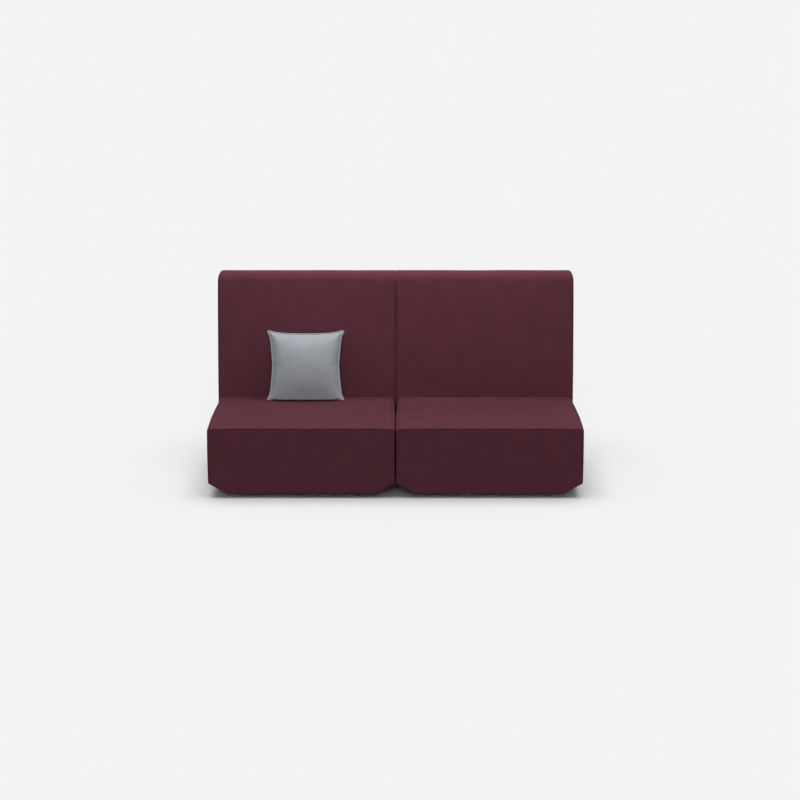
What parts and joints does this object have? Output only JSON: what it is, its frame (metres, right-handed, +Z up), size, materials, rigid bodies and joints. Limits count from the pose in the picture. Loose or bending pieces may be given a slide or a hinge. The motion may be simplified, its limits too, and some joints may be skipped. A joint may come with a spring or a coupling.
{
  "type": "two-seat sofa",
  "caption": "Low two-seat modular sofa of two armless upholstered modules linked side by side on hidden glides, with a loose zipped scatter cushion.",
  "frame": {"origin": "on the floor, at the centre of the sofa's bounding box", "axes": "+X to the right as seen from the front, +Y to the back, +Z up"},
  "size_m": [2.0054, 1.0322, 1.0777],
  "materials": {
    "sofa_fabric": "matt woven wool blend, wine red",
    "cushion_fabric": "soft brushed cloth, blue grey",
    "fibre_filling": "white polyester fibre",
    "foam": "open cell polyurethane foam",
    "black_felt": "needled felt",
    "dust_fabric": "black spunbond fabric",
    "elastic_webbing": "woven elastic strap",
    "plywood": "unfinished birch plywood",
    "pine": "planed pine",
    "hardboard": "brown hardboard",
    "spring_steel": "oiled spring steel",
    "zinc_steel": "zinc plated steel",
    "black_steel": "black powder coat",
    "black_plastic": "moulded polypropylene",
    "zip_tape": "woven zip tape and coil",
    "zip_metal": "nickel plated zinc"
  },
  "bodies": {
    "left_module": {"left_front_board": "plywood", "left_rear_board": "plywood", "left_side_boards": "plywood", "left_chamfer_boards": "plywood", "left_floor_board": "plywood", "left_seat_springs": "spring_steel", "left_spring_clips": "zinc_steel", "left_spring_felt": "black_felt", "left_seat_foam": "foam", "left_seat_edge_foams": "foam", "left_seat_cover": "sofa_fabric", "left_dust_cover": "dust_fabric", "left_glides": "black_plastic", "left_glide_screws": "zinc_steel", "left_link_sockets": "zinc_steel", "left_link_nuts": "zinc_steel", "left_back_uprights": "pine", "left_back_rails": "pine", "left_back_webbing": "elastic_webbing", "left_back_panel": "hardboard", "left_back_front_foam": "foam", "left_back_wrap_foams": "foam", "left_back_cover": "sofa_fabric", "left_back_bolts": "zinc_steel", "left_back_tee_nuts": "zinc_steel", "link_straps": "black_steel", "link_pins": "zinc_steel", "link_bolts": "zinc_steel"},
    "right_module": {"right_front_board": "plywood", "right_rear_board": "plywood", "right_side_boards": "plywood", "right_chamfer_boards": "plywood", "right_floor_board": "plywood", "right_seat_springs": "spring_steel", "right_spring_clips": "zinc_steel", "right_spring_felt": "black_felt", "right_seat_foam": "foam", "right_seat_edge_foams": "foam", "right_seat_cover": "sofa_fabric", "right_dust_cover": "dust_fabric", "right_glides": "black_plastic", "right_glide_screws": "zinc_steel", "right_link_sockets": "zinc_steel", "right_link_nuts": "zinc_steel", "right_back_uprights": "pine", "right_back_rails": "pine", "right_back_webbing": "elastic_webbing", "right_back_panel": "hardboard", "right_back_front_foam": "foam", "right_back_wrap_foams": "foam", "right_back_cover": "sofa_fabric", "right_back_bolts": "zinc_steel", "right_back_tee_nuts": "zinc_steel"},
    "cushion": {"cushion_cover": "cushion_fabric", "cushion_filling": "fibre_filling", "cushion_zip": "zip_tape"},
    "zip_slider": {"zip_slider": "zip_metal"},
    "zip_pull": {"zip_pull": "zip_metal"}
  },
  "joints": [
    {"name": "module_lift", "type": "slide", "parent": "left_module", "child": "right_module", "axis": [0, 0, 1], "range_m": [0, 0.06]},
    {"name": "cushion_lift", "type": "slide", "parent": "left_module", "child": "cushion", "axis": [0, 0, 1], "range_m": [0, 0.7]},
    {"name": "zip_slide", "type": "slide", "parent": "cushion", "child": "zip_slider", "axis": [1, 0, 0], "range_m": [0, 0.198]},
    {"name": "pull_hinge", "type": "hinge", "parent": "zip_slider", "child": "zip_pull", "pos_m": [-0.60075, 0.23797, 0.41804], "axis": [0, 0.5241, 0.8517], "range_deg": [0, 180]}
  ]
}
